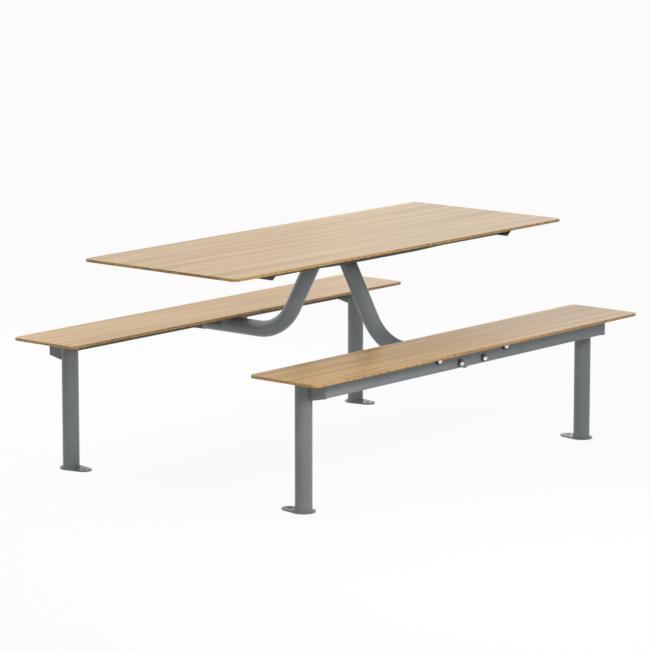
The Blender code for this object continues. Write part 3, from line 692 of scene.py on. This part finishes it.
def add_weld_seam(name, place, top):
    """A straight bead that runs up from its place."""
    x, y, foot = place
    profile = [(0, foot), (SEAM_BEAD, foot + SEAM_BEAD), (SEAM_BEAD, top - SEAM_BEAD), (0, top)]
    solid = move(turned(profile, closed=False), Matrix.Translation((x, y, 0)))
    add_piece(name, solid, WELD_COAT, "tube_coat")


def add_screws(name, places):
    """Screw heads that hold a board from below."""
    recess = SCREW_RECESS_DEPTH - SCREW_HEIGHT
    profile = [(0, 0), (SCREW_RADIUS, 0)]
    profile += [(SCREW_RADIUS * width, -SCREW_HEIGHT * drop) for width, drop in SCREW_CROWN]
    profile += [(SCREW_RECESS_RADIUS, -SCREW_HEIGHT), (SCREW_RECESS_RADIUS, recess), (0, recess)]
    head = turned(profile, closed=False)
    pattern = bpy.data.meshes.new(name)
    head.to_mesh(pattern)
    head.free()
    group = bmesh.new()
    for place in places:
        first = len(group.verts)
        group.from_mesh(pattern)
        group.verts.ensure_lookup_table()
        bmesh.ops.translate(group, verts=group.verts[first:], vec=place)
    bpy.data.meshes.remove(pattern)
    add_piece(name, group, NUT_STEEL, "nut_steel")


def add_seat_screws(side_name, side):
    """Through the beam's top flange, the bracket's shelf and the inner corners of the leg caps."""
    low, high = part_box(f"beam_{side_name}")
    _, inner = outer_and_inner(low, high, side)
    y = inner + side * SCREW_INSET
    places = [(high.x * share, y, high.z - BEAM_SHEET) for share in BEAM_SCREWS]
    low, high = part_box(f"seat_bracket_{side_name}")
    outer, _ = outer_and_inner(low, high, side)
    y = outer - side * SCREW_INSET
    places += [(x, y, high.z - BRACKET_SHEET) for x in (low.x + SCREW_INSET, high.x - SCREW_INSET)]
    for end_name, _ in ENDS:
        low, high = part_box(f"leg_cap_{side_name}_{end_name}")
        _, inner = outer_and_inner(low, high, side)
        y = inner + side * SCREW_INSET
        places += [(x, y, low.z) for x in (low.x + SCREW_INSET, high.x - SCREW_INSET)]
    add_screws(f"seat_screws_{side_name}", places)


def add_table_screws():
    """Through the ledges of the crossbars and up through the rails."""
    places = []
    for end_name, end in ENDS:
        low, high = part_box(f"table_crossbar_{end_name}")
        x = (high.x if end > 0 else low.x) - end * SCREW_INSET
        places += [(x, high.y * share, high.z - CROSSBAR_SHEET) for share in CROSSBAR_SCREWS]
    for side_name, _ in SIDES:
        low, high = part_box(f"table_rail_{side_name}")
        places += [(high.x * share, (low.y + high.y) / 2, low.z) for share in RAIL_SCREWS]
    add_screws("table_screws", places)


def add_tabletop_pieces():
    """The tabletop with the frame under it."""
    add_plate("tabletop_board", "tabletop", BOARD_CORNER, BOARD_ARRIS, TABLE_WOOD, "table_wood")
    under = [(f"table_crossbar_angle_{end_name}", f"table_crossbar_{end_name}") for end_name, _ in ENDS]
    under += [(f"table_rail_tube_{side_name}", f"table_rail_{side_name}") for side_name, _ in SIDES]
    under += [("table_pan_sheet", "table_pan")]
    # The crossbars, rails and pan take the near-black coat, which also carries painted shade from the
    # tabletop over them
    for name, node in under:
        add_eased_copy(name, node, DARK_PAINT_AND_SHADE_COAT, "under_coat")
    add_eased_copy("head_plate_steel", "head_plate", SHEET_COAT, "sheet_coat")
    add_table_screws()


def add_side_pieces(side_name, side):
    """One bench with its beam, and the arm that carries the table on that side."""
    board = f"seat_board_{side_name}"
    add_plate(board, f"seat_{side_name}", BOARD_CORNER, BOARD_ARRIS, SEAT_WOOD, "seat_wood")
    add_beam(f"beam_sheet_{side_name}", f"beam_{side_name}", side)
    add_arm(f"arm_tube_{side_name}", f"arm_{side_name}", side)
    for node, form in EASED_FORMS:
        add_eased_copy(f"{node}_{form}_{side_name}", f"{node}_{side_name}", SHEET_COAT, "sheet_coat")
    add_seat_screws(side_name, side)
    low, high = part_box(f"arm_{side_name}")
    head_y = side * (ARM_KNEE_Y - (high.z - ARM_RUN_Z) / math.tan(ARM_RISE_ANGLE))
    lean = Matrix.Scale(1 / math.sin(ARM_RISE_ANGLE), 4, (0, 1, 0))
    head = Matrix.Translation((0, head_y, high.z)) @ lean
    add_weld_ring(f"arm_head_weld_{side_name}", ARM_RADIUS, HEAD_BEAD, head)
    outer, _ = outer_and_inner(low, high, side)
    tail = Matrix.Translation((0, outer, ARM_RUN_Z)) @ along_y(side)
    add_weld_ring(f"arm_socket_weld_{side_name}", ARM_RADIUS, SOCKET_BEAD, tail)


def add_corner_pieces(side_name, side, end_name):
    """One leg with its plates and welds, and the bolts and nuts of that end."""
    corner = f"{side_name}_{end_name}"
    leg_x, leg_y, radius, foot, top = add_leg(f"leg_tube_{corner}", f"leg_{corner}")
    add_base_plate(f"foot_plate_{corner}", f"base_plate_{corner}", leg_x, leg_y, side)
    cap = f"leg_top_plate_{corner}"
    add_plate(cap, f"leg_cap_{corner}", LEG_CAP_CORNER, PLATE_ARRIS, SHEET_COAT, "sheet_coat")
    add_end_plate(f"beam_end_plate_{corner}", f"end_plate_{corner}", side)
    add_weld_ring(f"foot_weld_{corner}", radius, FOOT_BEAD, Matrix.Translation((leg_x, leg_y, foot)))
    add_weld_ring(f"leg_top_weld_{corner}", radius, HEAD_BEAD, Matrix.Translation((leg_x, leg_y, top)))
    low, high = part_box(f"end_plate_{corner}")
    for face, x in (("low", low.x), ("high", high.x)):
        add_weld_seam(f"leg_seam_{corner}_{face}", (x, leg_y + side * radius, low.z), high.z)
    upright = Matrix.Identity(4)
    add_nut(f"head_hex_nut_{corner}", f"head_nut_{corner}", HEAD_NUT_HEIGHT, HEAD_BOLT_RADIUS, upright)
    for level in ("lower", "upper"):
        label = f"{side_name}_{level}_{end_name}"
        add_dome_bolt(label, f"arm_bolt_{label}", side)
        add_nut(f"hex_nut_{label}", f"arm_nut_{label}", NUT_HEIGHT, BOLT_RADIUS, along_y(side))


def coat_remaining_nodes():
    """The bolts that hold the head plate keep their shape and take the steel finish."""
    for name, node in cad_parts.items():
        if name.startswith("head_bolt"):
            for slot in node.material_slots:
                slot.material = NUT_STEEL


def seen_directly(finish):
    """1 where the camera, a reflection or clear material looks, and 0 where light only falls."""
    looks = [
        finish.node("ShaderNodeLightPath", {}, {}, ray)
        for ray in ("Is Camera Ray", "Is Glossy Ray", "Is Transmission Ray")
    ]
    return looks[0].larger(looks[1]).larger(looks[2])


def add_floor():
    """A pale floor that looks nearly white and keeps the table's shadow."""
    solid = bmesh.new()
    bmesh.ops.create_grid(solid, x_segments=FLOOR_CELLS, y_segments=FLOOR_CELLS, size=FLOOR_REACH)
    mesh = bpy.data.meshes.new("studio_floor")
    solid.to_mesh(mesh)
    solid.free()
    floor = bpy.data.objects.new("studio_floor", mesh)
    bpy.context.scene.collection.objects.link(floor)
    pale = new_finish("pale_floor")
    specks = pale.noise(pale.place(), FLOOR_SPECKS)
    pale.surface(Base_Color=pale.mix(specks, FLOOR_MARK, FLOOR_PALE), Roughness=FLOOR_ROUGHNESS)
    mesh.materials.append(pale.holder)
    lift = pale.node("ShaderNodeEmission", {}, {"Color": WHITE, "Strength": PLAIN_WHITE})
    shown = seen_directly(pale) * FLOOR_SHOWN
    painted = Wire(pale, pale.tree.nodes["Principled BSDF"].outputs[0])
    cover = pale.node("ShaderNodeMixShader", {}, {0: shown, 1: painted, 2: lift})
    pale.feed(pale.tree.nodes["Material Output"].inputs["Surface"], cover)


def set_surroundings():
    """Even soft light from all round, plain white where it is seen."""
    world = bpy.data.worlds.new("white_surroundings")
    bpy.context.scene.world = world
    around = Finish(world)
    soft = around.node("ShaderNodeBackground", {}, {"Color": WHITE, "Strength": SURROUND_LIGHT})
    plain = around.node("ShaderNodeBackground", {}, {"Color": WHITE, "Strength": PLAIN_WHITE})
    both = around.node("ShaderNodeMixShader", {}, {0: seen_directly(around), 1: soft, 2: plain})
    around.feed(around.tree.nodes["World Output"].inputs["Surface"], both)


def add_lamps():
    for name, power, size, place, aim, shows in LAMPS:
        light = bpy.data.lights.new(name, "AREA")
        light.energy = power
        light.size = size
        lamp = bpy.data.objects.new(name, light)
        lamp.location = place
        lamp.rotation_mode = "QUATERNION"
        lamp.rotation_quaternion = (Vector(place) - Vector(aim)).to_track_quat("Z", "Y")
        lamp.visible_camera = False
        lamp.visible_glossy = shows
        bpy.context.scene.collection.objects.link(lamp)


def set_camera():
    """The photograph's viewpoint: a long lens from the left front, a little above the boards."""
    data = bpy.data.cameras.new("view_camera")
    data.sensor_width = CAMERA_SENSOR
    data.lens = CAMERA_LENS
    data.clip_end = CAMERA_REACH
    camera = bpy.data.objects.new("view_camera", data)
    level = math.cos(CAMERA_ELEVATION)
    back = Vector((
        math.sin(CAMERA_AZIMUTH) * level, -math.cos(CAMERA_AZIMUTH) * level, math.sin(CAMERA_ELEVATION)
    ))
    camera.rotation_mode = "QUATERNION"
    camera.rotation_quaternion = (-back).to_track_quat("-Z", "Y")
    camera.location = CAMERA_PLACE
    bpy.context.scene.collection.objects.link(camera)
    bpy.context.scene.camera = camera


add_tabletop_pieces()
for side_name, side in SIDES:
    add_side_pieces(side_name, side)
    for end_name, _ in ENDS:
        add_corner_pieces(side_name, side, end_name)
coat_remaining_nodes()

bpy.context.scene.view_settings.view_transform = "Standard"
add_floor()
set_surroundings()
add_lamps()
set_camera()
